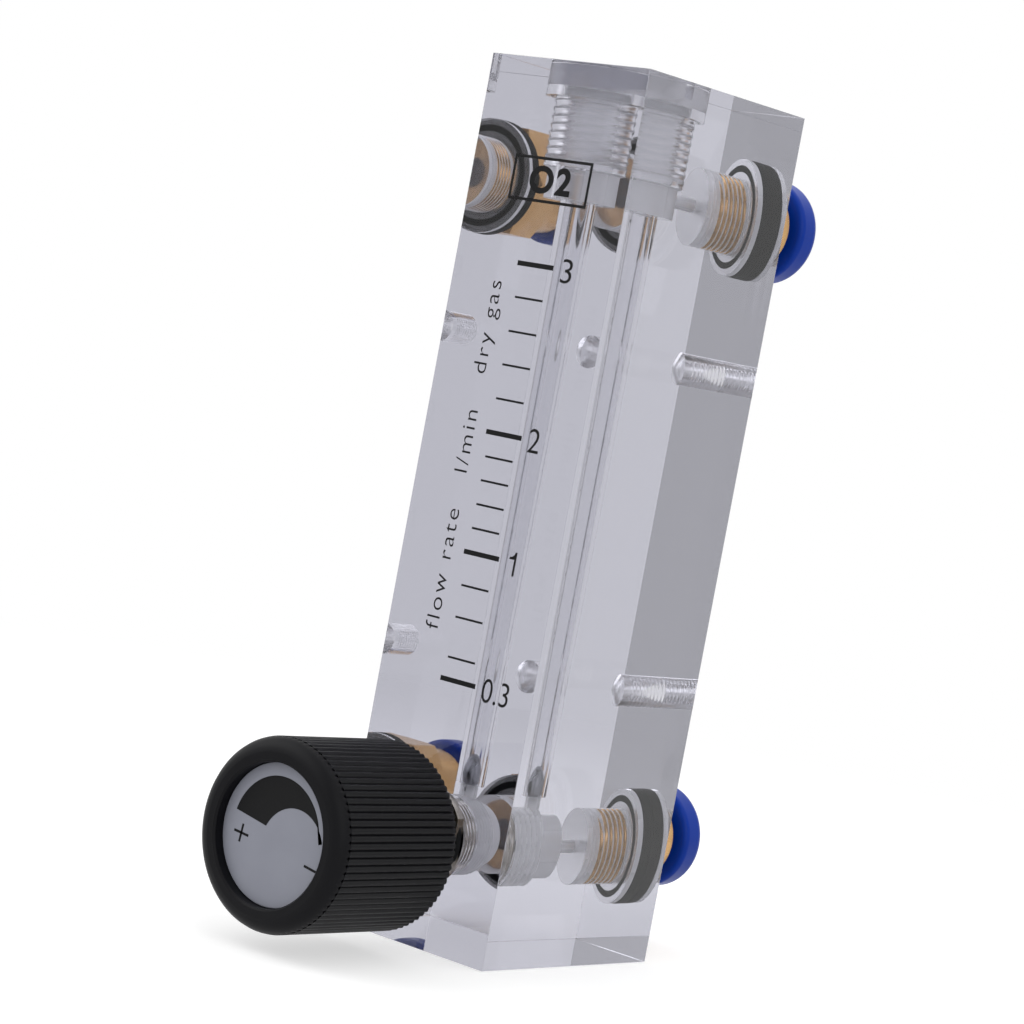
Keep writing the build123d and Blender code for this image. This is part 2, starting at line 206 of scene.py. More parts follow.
def skin(
    tree: Tree, place: Socket, size: float, depth: float, strength: float, detail: float = 2.0
) -> Socket:
    """Adds a bumpy skin.

    Args:
        tree: the tree that gets it.
        place: the place on the object.
        size: size of a bump in mm.
        depth: its depth in mm.
        strength: how much of it shows.
        detail: how ragged the bumps are.

    Returns:
        The normal for a shader.
    """
    noise = add_node(tree, "TexNoise", inputs={"Vector": place, "Scale": per_mm(size), "Detail": detail})
    values = {"Strength": strength, "Distance": depth * MM, "Height": noise.outputs["Fac"]}
    return add_node(tree, "Bump", inputs=values).outputs[0]


def seen_directly(tree: Tree) -> Socket:
    """Adds a switch that is 1 for rays from the camera, off gloss and through glass.

    Args:
        tree: the tree that gets it.

    Returns:
        The switch's output.
    """
    path = add_node(tree, "LightPath").outputs
    seen = path["Is Camera Ray"]
    for ray in ("Is Glossy Ray", "Is Transmission Ray"):
        seen = add_node(tree, "Math", LARGER, {0: seen, 1: path[ray]}).outputs[0]
    return seen


def blank_material(name: str) -> tuple[Material, Tree, Socket]:
    """Makes an empty node material.

    Args:
        name: the material's name.

    Returns:
        The material, its tree and the place on the object.
    """
    material = bpy.data.materials.new(name)
    material.use_nodes = True
    tree = material.node_tree
    tree.nodes.clear()
    return material, tree, add_node(tree, "TexCoord").outputs["Object"]


# Finishes


@dataclass(frozen=True)
class Finish:
    """What the finishes of the object share: one surface shader, whose inputs each kind gives."""

    name: str

    def surface(self, tree: Tree, place: Socket) -> Values:
        """Returns the shader's inputs, from the tree and the place on the object."""
        raise NotImplementedError

    def material(self) -> Material:
        """Returns the material."""
        material, tree, place = blank_material(self.name)
        shader = add_node(tree, "BsdfPrincipled", inputs=self.surface(tree, place))
        add_node(tree, "OutputMaterial", inputs={"Surface": shader.outputs[0]})
        return material


@dataclass(frozen=True)
class CastAcrylic(Finish):
    """Clear cast acrylic: polished outside, satin where a tool cut it, cool grey with depth. The cool grey is
    painted shade, in the polished skin and in the volume, that stands in for the grey surroundings seen
    through the clear sheet.
    """

    name: str = "cast_acrylic"
    refractive_index: float = 1.49
    tool_roughness: float = 0.7
    polish_roughness: float = 0.0
    milkiness: float = 0.65
    swirl: float = 1.1
    wave: float = 14.0
    wave_depth: float = 0.02
    # Painted shade: the grey of the surroundings seen through the clear sheet, given to its polished skin.
    sheet_colour: str = "#BFBFC9"
    cut_colour: str = "#FAFAFB"
    # Painted shade: the absorption's cool grey also stands in for the grey surroundings seen through the
    # sheet.
    absorption_colour: str = "#A8A8B6"
    absorption_per_metre: float = 3.0

    def surface(self, tree: Tree, place: Socket) -> Values:
        """Returns the shader's inputs, which follow how each face was made."""
        tooling = add_node(tree, "Attribute", {"attribute_name": "tooling"}).outputs["Fac"]
        values = {"Vector": place, "Scale": per_mm(self.swirl), "Detail": 3.0}
        swirl = add_node(tree, "TexNoise", inputs=values)
        limits = {3: 0.8 * self.tool_roughness, 4: self.tool_roughness}
        tool = add_node(tree, "MapRange", inputs={0: swirl.outputs["Fac"], **limits})
        rough = add_node(tree, "Mix", inputs={0: tooling, 2: self.polish_roughness, 3: tool.outputs[0]})
        # A cut face scatters light in its torn skin, so it looks milky rather than clear.
        limits = {1: Tooling.PRESSED.value, 2: Tooling.TAPPED.value, 3: 1.0, 4: 1.0 - self.milkiness}
        clear = add_node(tree, "MapRange", inputs={0: tooling, **limits})
        # Painted shade: the polished faces get a cool grey base colour that stands in for the grey
        # surroundings seen through the clear sheet, and fresh cuts are white.
        cut = add_node(tree, "MapRange", inputs={0: tooling, 2: Tooling.PRESSED.value})
        tones = {6: linear(self.sheet_colour), 7: linear(self.cut_colour)}
        colour = add_node(tree, "Mix", COLOURS, {0: cut.outputs[0], **tones})
        return {
            "Base Color": colour.outputs[2],
            "Roughness": rough.outputs[0],
            "IOR": self.refractive_index,
            "Transmission Weight": clear.outputs[0],
            # A slow wave in the polished faces, which bends what shows through them a little.
            "Normal": skin(tree, place, self.wave, self.wave_depth, 0.2, 1.0),
        }

    def material(self) -> Material:
        """Returns the material, with absorption in its volume."""
        material = super().material()
        tree = material.node_tree
        # Painted shade: a cool grey absorption in the volume, standing in for the grey surroundings.
        values = {"Color": linear(self.absorption_colour), "Density": self.absorption_per_metre}
        depth = add_node(tree, "VolumeAbsorption", inputs=values)
        tree.links.new(depth.outputs[0], tree.get_output_node("ALL").inputs["Volume"])
        return material


@dataclass(frozen=True)
class Silicone(Finish):
    """Translucent silicone rubber: milky, with a soft gloss."""

    name: str = "silicone_rubber"
    colour: str = "#E9EAEC"
    cloud: float = 0.8

    def surface(self, tree: Tree, place: Socket) -> Values:
        """Returns the shader's inputs."""
        values = {"Vector": place, "Scale": per_mm(self.cloud), "Detail": 2.0}
        cloud = add_node(tree, "TexNoise", inputs=values)
        rough = add_node(tree, "MapRange", inputs={0: cloud.outputs["Fac"], 3: 0.3, 4: 0.5})
        return {
            "Base Color": linear(self.colour),
            "Roughness": rough.outputs[0],
            "IOR": 1.41,
            "Transmission Weight": 0.75,
        }


@dataclass(frozen=True)
class Rubber(Finish):
    """Moulded nitrile rubber: dull charcoal with a faint bloom."""

    name: str = "nitrile_rubber"
    tones: tuple[str, str] = ("#0B0C0D", "#17181A")

    def surface(self, tree: Tree, place: Socket) -> Values:
        """Returns the shader's inputs."""
        return {
            "Base Color": patches(tree, place, 1.6, 4.0, self.tones)[1],
            "Roughness": 0.6,
            "IOR": 1.52,
            "Specular IOR Level": 0.1,
            "Normal": skin(tree, place, 0.09, 0.004, 0.4),
        }


@dataclass(frozen=True)
class TurnedMetal(Finish):
    """Metal cut on a lathe: rings from the tool, brighter and duller by turns, and a slight tarnish."""

    tones: tuple[str, str]
    roughness: float
    line: Line
    # A lathe leaves rings about 0.1 mm apart; the float's are drawn coarser, so that they show.
    feed: float = 0.11
    ring_depth: float = 0.006
    # A wave texture has one band in every 0.31 units at scale 1.
    band: float = 0.314

    def surface(self, tree: Tree, place: Socket) -> Values:
        """Returns the shader's inputs, with tool rings round the named line."""
        along = "Y" if self.line is Line.VALVE else "Z"
        settings = {"wave_type": "BANDS", "bands_direction": along, "wave_profile": "SIN"}
        scale = per_mm(self.feed) * self.band
        values = {"Vector": place, "Scale": scale, "Distortion": 0.4, "Detail": 1.0}
        rings = add_node(tree, "TexWave", settings, values)
        share, colour = patches(tree, place, 2.4, 5.0, self.tones)
        limits = {3: 0.75 * self.roughness, 4: 1.35 * self.roughness}
        rough = add_node(tree, "MapRange", inputs={0: share, **limits})
        values = {"Strength": 0.35, "Distance": self.ring_depth * MM, "Height": rings.outputs["Fac"]}
        bump = add_node(tree, "Bump", inputs=values)
        return {
            "Base Color": colour,
            "Metallic": 1.0,
            "Roughness": rough.outputs[0],
            "Normal": bump.outputs[0],
        }


@dataclass(frozen=True)
class MouldedPlastic(Finish):
    """Injection-moulded plastic: spark-eroded grain and faint flow marks under a satin or glossy skin."""

    tones: tuple[str, str]
    roughness: float
    # A spark-eroded grain is about 0.05 mm wide, so each finish draws it as coarse as it needs to show.
    grain: float
    grain_depth: float
    gloss: float
    refractive_index: float = 1.5

    def surface(self, tree: Tree, place: Socket) -> Values:
        """Returns the shader's inputs."""
        share, colour = patches(tree, place, 5.0, 4.0, self.tones)
        limits = {3: 0.85 * self.roughness, 4: 1.2 * self.roughness}
        rough = add_node(tree, "MapRange", inputs={0: share, **limits})
        return {
            "Base Color": colour,
            "Roughness": rough.outputs[0],
            "IOR": self.refractive_index,
            "Specular IOR Level": self.gloss,
            "Normal": skin(tree, place, self.grain, self.grain_depth, 0.6),
        }


@dataclass(frozen=True)
class ScreenInk(Finish):
    """Screen-printed ink: flat black with pinholes that the mesh leaves."""

    name: str = "screen_ink"
    colour: str = "#060607"
    thin: str = "#121214"
    mesh: float = 0.12

    def surface(self, tree: Tree, place: Socket) -> Values:
        """Returns the shader's inputs."""
        marks = add_node(tree, "TexVoronoi", inputs={"Vector": place, "Scale": per_mm(self.mesh)})
        tones = {6: linear(self.colour), 7: linear(self.thin)}
        colour = add_node(tree, "Mix", COLOURS, {0: marks.outputs["Distance"], **tones})
        return {"Base Color": colour.outputs[2], "Roughness": 0.6, "Specular IOR Level": 0.15}


@dataclass(frozen=True)
class GreyCard:
    """A grey card in the surroundings that shows in the glass alone, its angles in degrees."""

    way: Place = (-0.63, -0.776, -0.03)
    core: float = 9.0
    edge: float = 19.0
    tone: float = 0.6

    def share(self, tree: Tree, way: Socket) -> Socket:
        """Adds a measure of how far a direction points at the card.

        Args:
            tree: the tree that gets it.
            way: the direction, of length 1.

        Returns:
            An output that is 1 on the card and 0 off it.
        """
        towards = add_node(tree, "VectorMath", {"operation": "DOT_PRODUCT"}, {0: way, 1: self.way})
        edge, core = (math.cos(math.radians(angle)) for angle in (self.edge, self.core))
        limits = {0: towards.outputs["Value"], 1: edge, 2: core}
        return add_node(tree, "MapRange", SMOOTH, limits).outputs[0]


@dataclass(frozen=True)
class StudioFloor:
    """Matt white floor that turns to the plain white of the surroundings away from the object, in mm."""

    card: GreyCard
    name: str = "studio_floor"
    albedo: str = "#CFCFCF"
    lift: float = 0.52
    fade: Point = (110.0, 280.0)
    card_fade: Point = (70.0, 130.0)

    def material(self) -> Material:
        """Returns the material."""
        material, tree, place = blank_material(self.name)
        reach = add_node(tree, "VectorMath", {"operation": "LENGTH"}, {0: place}).outputs["Value"]
        fade, near_card = (
            add_node(tree, "MapRange", SMOOTH, {0: reach, 1: start * MM, 2: end * MM}).outputs[0]
            for start, end in (self.fade, self.card_fade)
        )
        lit = add_node(tree, "BsdfDiffuse", inputs={"Color": linear(self.albedo)}).outputs[0]
        glow, far, card = (
            add_node(tree, "Emission", inputs={"Strength": strength}).outputs[0]
            for strength in (self.lift, 1.0, self.card.tone)
        )
        near = add_node(tree, "AddShader", inputs={0: lit, 1: glow}).outputs[0]
        shown = add_node(tree, "MixShader", inputs={0: fade, 1: near, 2: far}).outputs[0]
        # The grey card of the surroundings lies on the floor too, and shows in the glass alone.
        way = add_node(tree, "VectorMath", {"operation": "NORMALIZE"}, {0: place}).outputs["Vector"]
        shares = {0: self.card.share(tree, way), 1: near_card}
        on_card = add_node(tree, "Math", {"operation": "MULTIPLY"}, shares).outputs[0]
        camera = add_node(tree, "LightPath").outputs["Is Camera Ray"]
        in_glass = add_node(tree, "Math", {"operation": "SUBTRACT"}, {0: on_card, 1: camera}).outputs[0]
        share = add_node(tree, "Math", LARGER, {0: in_glass, 1: 0.0}).outputs[0]
        looked_at = add_node(tree, "MixShader", inputs={0: share, 1: shown, 2: card}).outputs[0]
        both = add_node(tree, "MixShader", inputs={0: seen_directly(tree), 1: lit, 2: looked_at})
        add_node(tree, "OutputMaterial", inputs={"Surface": both.outputs[0]})
        return material


@dataclass
class Finishes:
    """Every finish on the object, made once."""

    def __post_init__(self) -> None:
        """Makes the materials."""
        valve, bore = Line.VALVE, Line.BORE
        self.acrylic = CastAcrylic().material()
        self.silicone = Silicone().material()
        self.rubber = Rubber().material()
        self.ink = ScreenInk().material()
        # Free-cutting brass: warm yellow metal that has dulled a little in the air.
        self.brass = TurnedMetal("turned_brass", ("#D9B27C", "#BE9261"), 0.24, valve).material()
        # Bright nickel plate: warm white metal, with the tool rings under it.
        self.nickel = TurnedMetal("nickel_plate", ("#BDB8AF", "#8F8A82"), 0.2, valve).material()
        # Turned stainless steel: neutral grey; the float's copy is a shade darker, which is painted shade
        # standing in for the dark surroundings that it reflects in the bore.
        self.steel = TurnedMetal("turned_stainless", ("#B4B4B4", "#8F9091"), 0.26, valve).material()
        tones = ("#A7A8AB", "#7E7F83")
        self.float_steel = TurnedMetal("shaded_float_stainless", tones, 0.24, bore, 0.16).material()
        # Satin black ABS: the knob. Dark, with a broad soft highlight.
        tones = ("#09090C", "#0E0E12")
        self.black_abs = MouldedPlastic("moulded_abs", tones, 0.42, 0.16, 0.01, 0.11).material()
        # Polyester label film: silver grey.
        tones = ("#868893", "#92949F")
        self.label_film = MouldedPlastic("polyester_film", tones, 0.4, 0.3, 0.002, 0.25).material()
        # Blue acetal: saturated, slightly glossy.
        tones = ("#0438A2", "#043193")
        self.blue_acetal = MouldedPlastic("blue_acetal", tones, 0.34, 0.4, 0.004, 0.14).material()
        # White acetal: the spacers inside the fittings, off-white with a soft gloss.
        tones = ("#E6E6E2", "#DADAD6")
        self.white_acetal = MouldedPlastic("white_acetal", tones, 0.35, 0.4, 0.004, 0.5).material()


# Mesh helpers


def spread(start: float, end: float, count: int) -> list[float]:
    """Returns evenly spaced values, with both ends."""
    return [start + (end - start) * i / count for i in range(count + 1)]


def shift(solid: Solid, by: Place) -> None:
    """Moves a mesh by a distance in mm."""
    bmesh.ops.translate(solid, vec=[part * MM for part in by], verts=solid.verts)


def turn(solid: Solid, degrees: float, axis: str, verts: Sequence[bmesh.types.BMVert] = ()) -> None:
    """Turns a mesh, or only some of its vertices, about an axis through the origin."""
    matrix = Matrix.Rotation(math.radians(degrees), 3, axis)
    bmesh.ops.rotate(solid, cent=ORIGIN, matrix=matrix, verts=verts or solid.verts)


def steps(start: float, *runs: Point) -> list[Point]:
    """Draws the outline of cylinders in a row.

    Args:
        start: the station at which the first one starts, in mm.
        runs: the radius of each one and the station at which it ends, in mm.

    Returns:
        The outline's (radius, station) points.
    """
    ends = [start, *(end for _, end in runs)]
    return [(radius, station) for (radius, end), at in zip(runs, ends) for station in (at, end)]


def turned(outline: Outline, segments: int = ROUND, ring: bool = False) -> Solid:
    """Turns an outline about Z into a closed solid.

    Args:
        outline: (radius, station) points in mm.
        segments: faces round the axis.
        ring: whether the outline closes on itself; if not, its ends run straight to the axis.

    Returns:
        The solid in metres, with its stations along +Z.
    """
    path = list(outline)
    if not ring:
        path.append((0.0, path[-1][1]))
        if path[0][0] > 0:
            path.insert(0, (0.0, path[0][1]))
    solid = bmesh.new()
    points = [solid.verts.new((radius * MM, 0.0, station * MM)) for radius, station in path]
    following = points[1:] + (points[:1] if ring else [])
    geom = points + [solid.edges.new(pair) for pair in zip(points, following)]
    axis = (0.0, 0.0, 1.0)
    bmesh.ops.spin(solid, geom=geom, cent=ORIGIN, axis=axis, angle=math.tau, steps=segments, use_merge=True)
    bmesh.ops.remove_doubles(solid, verts=solid.verts, dist=WELD)
    bmesh.ops.recalc_face_normals(solid, faces=solid.faces)
    return solid


def ease(solid: Solid, width: float, segments: int = 2, angle: float = CREASE) -> Solid:
    """Rounds every edge sharper than an angle.

    Args:
        solid: the mesh to change.
        width: how far the rounding reaches from the edge, in mm.
        segments: faces across the rounding.
        angle: edges between faces that meet at less than this stay.

    Returns:
        The same mesh.
    """
    bmesh.ops.bevel(
        solid,
        geom=[edge for edge in solid.edges if edge.is_manifold and edge.calc_face_angle() > angle],
        offset=width * MM,
        offset_type="OFFSET",
        segments=segments,
        profile=0.5,
        affect="EDGES",
        clamp_overlap=True,
        material=-1,
    )
    return solid


def box(low: Place, high: Place) -> Solid:
    """Makes a rectangular solid.

    Args:
        low: lowest corner in mm.
        high: highest corner in mm.

    Returns:
        The solid in metres.
    """
    solid = bmesh.new()
    bmesh.ops.create_cube(solid, size=1.0)
    bmesh.ops.scale(solid, vec=[(b - a) * MM for a, b in zip(low, high)], verts=solid.verts)
    shift(solid, tuple((a + b) / 2 for a, b in zip(low, high)))
    return solid


def placed(solid: Solid, line: Line, height: float = 0.0) -> Solid:
    """Moves a solid from its own Z axis to a line of the block.

    Args:
        solid: the mesh to move.
        line: the line on which it lies; stations then run along +Y or +Z.
        height: height of a line along Y, in mm.

    Returns:
        The same mesh.
    """
    if line is Line.VALVE:
        turn(solid, -90, "X")
        shift(solid, (0.0, 0.0, height))
    else:
        shift(solid, (0.0, TUBE_Y, 0.0))
    return solid


@dataclass(frozen=True)
class Thread:
    """A V thread on a turned wall, crest outwards, in mm."""

    radius: float
    start: float
    end: float
    pitch: float = 1.0
    depth: float = 0.55
    steepness: float = 1.25
    flat_share: float = 0.1
    fading: float = 1.5

    def wall(self) -> list[Point]:
        """Returns the outline points of the wall that the thread is wound on."""
        count = round((self.end - self.start) / self.pitch * STEPS_PER_PITCH)
        step = (self.end - self.start) / count
        return [(self.radius, self.start + step * i) for i in range(count + 1)]

    def wind(self, solid: Solid) -> Solid:
        """Draws the wall in between the ridges, so that they climb one pitch a turn.

        Args:
            solid: a solid turned about Z whose outline has this thread's wall.

        Returns:
            The same mesh.
        """
        for vert in solid.verts:
            station = vert.co.z / MM
            radius = vert.co.xy.length / MM
            if abs(radius - self.radius) > HAIR or not self.start <= station <= self.end:
                continue
            phase = (station / self.pitch - math.atan2(vert.co.y, vert.co.x) / math.tau) % 1.0
            ridge = min(1.0, max(0.0, self.steepness * abs(2.0 * phase - 1.0) - self.flat_share))
            fade = min(1.0, self.fading * min(station - self.start, self.end - station) / self.pitch)
            scale = 1.0 - self.depth * fade * (1.0 - ridge) / radius
            vert.co.x *= scale
            vert.co.y *= scale
        return solid


def as_object(name: str, solid: Solid) -> bpy.types.Object:
    """Turns a mesh into a linked object.

    Args:
        name: the object's name.
        solid: the mesh, which is freed.

    Returns:
        The object, at the origin.
    """
    mesh = bpy.data.meshes.new(name)
    solid.to_mesh(mesh)
    solid.free()
    made = bpy.data.objects.new(name, mesh)
    bpy.context.scene.collection.objects.link(made)
    return made


def combined(stock: Solid, tools: Iterable[Solid], operation: str = "DIFFERENCE") -> Solid:
    """Cuts, joins or crosses closed solids.

    Args:
        stock: the solid that is worked on.
        tools: the solids that work on it, in order.
        operation: DIFFERENCE, UNION or INTERSECT.

    Returns:
        The result, with normals outwards.
    """
    work = as_object("work", stock)
    helpers = []
    for tool in tools:
        helper = as_object("tool", tool)
        modifier = work.modifiers.new("join", "BOOLEAN")
        modifier.operation = operation
        modifier.solver = "MANIFOLD"
        modifier.object = helper
        helpers.append(helper)
    result = bmesh.new()
    result.from_object(work, bpy.context.evaluated_depsgraph_get())
    for spent in [work, *helpers]:
        mesh = spent.data
        bpy.data.objects.remove(spent)
        bpy.data.meshes.remove(mesh)
    return result


def make_piece(
    name: str,
    solid: Solid,
    material: Material,
    body: str,
    slot: str,
    stands_for: str | None = None,
    tooling: Callable[[Vector, Vector], Tooling] | None = None,
) -> None:
    """Makes a finished piece that rides on a body of the frame.

    Args:
        name: the piece's name.
        solid: its mesh, in place, which is freed.
        material: its finish.
        body: the CAD body it moves with.
        slot: the record's material slot; not used.
        stands_for: the CAD node that it replaces, if any.
        tooling: how each face was made, from the face's middle in mm and its normal.
    """
    made = as_object(name, solid)
    mesh = made.data
    mesh.materials.append(material)
    mesh.set_sharp_from_angle(angle=CREASE)
    # A face that is square to an axis is truly flat, so it takes no normal from the rounding beside it.
    rounded = [max(abs(part) for part in face.normal) < SQUARE for face in mesh.polygons]
    mesh.polygons.foreach_set("use_smooth", rounded)
    if tooling:
        marks = mesh.attributes.new("tooling", "FLOAT", "FACE")
        values = [tooling(face.center / MM, face.normal).value for face in mesh.polygons]
        marks.data.foreach_set("value", values)
    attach(made, body)
    if stands_for:
        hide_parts(stands_for)
    log.info("%s: %d faces on %s", name, len(mesh.polygons), body)


def dress(frame: dict, nodes: Iterable[str], material: Material) -> None:
    """Gives CAD nodes that stay as they are their finish.

    Args:
        frame: the loaded frame.
        nodes: names of the nodes.
        material: the finish.
    """
    for name in nodes:
        node = frame["nodes"][name]
        node.data.materials.clear()
        node.data.materials.append(material)
        log.info("%s: CAD solid with %s", name, material.name)


# Print helpers


def add_bar(solid: Solid, middle: Point, size: Point, tilt: float = 0.0) -> None:
    """Adds a bar to a flat drawing in x and y.

    Args:
        solid: the drawing.
        middle: the bar's middle in mm.
        size: its width and height in mm.
        tilt: how far it is turned, in degrees.
    """
    made = bmesh.ops.create_grid(solid, x_segments=1, y_segments=1, size=0.5)["verts"]
    bmesh.ops.scale(solid, vec=(*size, 1.0), verts=made)
    turn(solid, tilt, "Z", made)
    bmesh.ops.translate(solid, vec=(*middle, 0.0), verts=made)


def lettering(text: str, low: Point, high: Point, weight: float = 0.0, spacing: float = 1.0) -> Solid:
    """Sets text as a flat drawing that fills a box.

    Args:
        text: the words.
        low: lower left corner of the box in mm.
        high: upper right corner of the box in mm.
        weight: how much thicker the strokes are than the typeface's, as a share of its size.
        spacing: distance between letters, as a share of the typeface's.

    Returns:
        The faces, drawn in x and y in mm.
    """
    curve = bpy.data.curves.new("words", "FONT")
    curve.body = text
    curve.resolution_u = 6
    curve.offset = weight
    curve.space_character = spacing
    words = bpy.data.objects.new("words", curve)
    bpy.context.scene.collection.objects.link(words)
    mesh = bpy.data.meshes.new_from_object(words.evaluated_get(bpy.context.evaluated_depsgraph_get()))
    solid = bmesh.new()
    solid.from_mesh(mesh)
    bpy.data.meshes.remove(mesh)
    bpy.data.objects.remove(words)
    bpy.data.curves.remove(curve)
    bmesh.ops.remove_doubles(solid, verts=solid.verts, dist=1e-5)
    xs = [vert.co.x for vert in solid.verts]
    ys = [vert.co.y for vert in solid.verts]
    bmesh.ops.translate(solid, vec=(-min(xs), -min(ys), 0.0), verts=solid.verts)
    fit = ((high[0] - low[0]) / (max(xs) - min(xs)), (high[1] - low[1]) / (max(ys) - min(ys)), 1.0)
    bmesh.ops.scale(solid, vec=fit, verts=solid.verts)
    bmesh.ops.translate(solid, vec=(*low, 0.0), verts=solid.verts)
    return solid


def raised(solid: Solid, direction: Place, height: float) -> Solid:
    """Thickens flat faces into closed solids.

    Args:
        solid: a mesh of flat faces.
        direction: the way that they are thickened.
        height: their thickness in mm.

    Returns:
        The same mesh, closed, with normals outwards.
    """
    made = bmesh.ops.extrude_face_region(solid, geom=solid.faces[:], use_keep_orig=True)["geom"]
    moved = [item for item in made if isinstance(item, bmesh.types.BMVert)]
    bmesh.ops.translate(solid, vec=Vector(direction) * (height * MM), verts=moved)
    bmesh.ops.recalc_face_normals(solid, faces=solid.faces)
    return solid


def printed(solid: Solid, back: float, ink: float, height: float = 0.0) -> Solid:
    """Stands a flat drawing up as ink that faces the reader.

    Args:
        solid: flat faces in x and y, in mm.
        back: station of the ink's back along Y, in mm.
        ink: its thickness in mm.
        height: the height that the drawing's y is counted from, in mm.

    Returns:
        The same mesh as closed, thin solids.
    """
    bmesh.ops.scale(solid, vec=(MM, MM, MM), verts=solid.verts)
    turn(solid, 90, "X")
    shift(solid, (0.0, back, height))
    return raised(solid, (0.0, -1.0, 0.0), ink)


# Sub-assemblies


@dataclass
class Block:
    """The clear block with its bores, and the plug that closes the metering bore, in mm."""

    width: float = 25.0
    edge: float = 0.04
    seat_bore: float = 1.3
    seat_height: float = 20.5
    taper_foot: float = 2.1
    taper_top: float = 2.65
    chamber_foot: float = 94.4
    chamber_radius: float = 5.2
    lead_in: float = 0.2
    plug_tap: Thread = Thread(6.05, 98.4, 107.0, 1.0, 0.19)
    plug_bore: float = 7.55
    bore_step: float = 0.05
    plug_thread: Thread = Thread(6.06, 99.0, 108.2, 1.0, 0.23)
    plug_nose: float = 0.6
    plug_head: float = 7.56
    plug_edge: float = 0.2
    slot_width: float = 1.6
    slot_depth: float = 1.8
    slot_reach: float = 9.0
    valve_tap: Thread = Thread(5.05, FRONT_Y, -4.6)
    valve_chamber: float = 4.1
    valve_floor: float = -0.3
    orifice: float = 0.6
    orifice_end: float = 1.8
    passage: float = 0.85
    port_floor: float = 4.5
    port_tap: Thread = Thread(5.0, 5.3, 13.4)
    counterbore: float = 7.6
    panel_tap: Thread = Thread(2.1, 9.0, 17.2, 0.8, 0.05)
    panel_floor: float = 7.95
    panel_tip: float = 6.69
    panel_heights: Point = (34.5, 76.5)
    bushing_end: float = -9.9
    rim: float = 0.35
    slack: float = 0.1

    def metering_cut(self) -> Solid:
        """Returns the cutter for the metering bore, its chamber and the plug's tapping."""
        outline = [
            *steps(VALVE_HEIGHT, (self.seat_bore, self.seat_height)),
            (self.taper_foot, self.seat_height),
            (self.taper_top, self.chamber_foot),
            *steps(self.chamber_foot, (self.chamber_radius, self.plug_tap.start - self.lead_in)),
            *self.plug_tap.wall(),
            *steps(self.plug_tap.end + self.bore_step, (self.plug_bore, BLOCK_HEIGHT + REACH)),
        ]
        return placed(self.plug_tap.wind(turned(outline)), Line.BORE)

    def port_outline(self) -> list[Point]:
        """Returns the outline of a port from its floor out past the back face."""
        return [
            (self.port_tap.radius, self.port_floor),
            *self.port_tap.wall(),
            *steps(self.port_tap.end + RUN_OUT, (self.counterbore, BACK_Y + REACH)),
        ]

    def valve_cut(self) -> Solid:
        """Returns the cutter for the valve bore, the orifice, the passage and the inlet port."""
        outline = [
            (self.valve_tap.radius, FRONT_Y - REACH),
            *self.valve_tap.wall(),
            *steps(
                self.valve_tap.end + RUN_OUT,
                (self.valve_chamber, self.valve_floor),
                (self.orifice, self.orifice_end),
                (self.passage, self.port_floor),
            ),
            *self.port_outline(),
        ]
        solid = self.port_tap.wind(self.valve_tap.wind(turned(outline)))
        return placed(solid, Line.VALVE, Port.INLET.value)

    def outlet_cut(self) -> Solid:
        """Returns the cutter for the outlet passage and port."""
        outline = [*steps(TUBE_Y, (self.passage, self.port_floor)), *self.port_outline()]
        return placed(self.port_tap.wind(turned(outline)), Line.VALVE, Port.OUTLET.value)

    def panel_cut(self, height: float) -> Solid:
        """Returns the cutter for a blind tapped hole in the back face, at a height in mm."""
        outline = [
            (0.0, self.panel_tip),
            (self.panel_tap.radius, self.panel_floor),
            *self.panel_tap.wall(),
            (self.panel_tap.radius, BACK_Y + REACH),
        ]
        return placed(self.panel_tap.wind(turned(outline, ROUND // 2)), Line.VALVE, height)

    def face_tooling(self, middle: Vector, normal: Vector) -> Tooling:
        """Says how a face of the block was made.

        Args:
            middle: the face's middle in mm.
            normal: its normal.

        Returns:
            Polished outside, reamed in the metering bore, screwed or pressed where another piece fills the
            hole, drilled in plain holes and tapped in threads.
        """
        half_height = BLOCK_HEIGHT / 2
        outside = (
            (middle.x, self.width / 2, normal.x),
            (middle.y, BACK_Y, normal.y),
            (middle.z - half_height, half_height, normal.z),
        )
        if any(abs(place) > limit - self.rim and abs(facing) > 0.5 for place, limit, facing in outside):
            return Tooling.POLISHED
        from_bore = math.hypot(middle.x, middle.y - TUBE_Y)
        in_taper = self.seat_height - self.slack < middle.z < self.chamber_foot + self.slack
        if in_taper and from_bore < self.taper_top + self.slack:
            return Tooling.REAMED
        if middle.z > self.plug_tap.start and from_bore < self.plug_bore + self.slack:
            return Tooling.SCREWED
        if middle.y < self.bushing_end:
            return Tooling.PRESSED
        reach = self.panel_tap.radius + self.slack
        in_panel_hole = any(abs(middle.z - height) < reach for height in self.panel_heights)
        if in_panel_hole or max(abs(normal.y), abs(normal.z)) > 0.99:
            return Tooling.DRILLED
        return Tooling.TAPPED

    def build_block(self, finishes: Finishes) -> None:
        """Makes the block."""
        stock = box((-self.width / 2, FRONT_Y, 0.0), (self.width / 2, BACK_Y, BLOCK_HEIGHT))
        cutters = [self.metering_cut(), self.valve_cut(), self.outlet_cut()]
        cutters += [self.panel_cut(height) for height in self.panel_heights]
        solid = combined(ease(stock, self.edge, 3), cutters)
        labels = ("meter_body", "clear_acrylic", "acrylic_block")
        make_piece("clear_block", solid, finishes.acrylic, *labels, self.face_tooling)

    def plug_tooling(self, middle: Vector, normal: Vector) -> Tooling:
        """Says how a face of the plug was made: polished on top and screwed in below, whatever its normal."""
        return Tooling.POLISHED if middle.z > BLOCK_HEIGHT - self.slack else Tooling.SCREWED

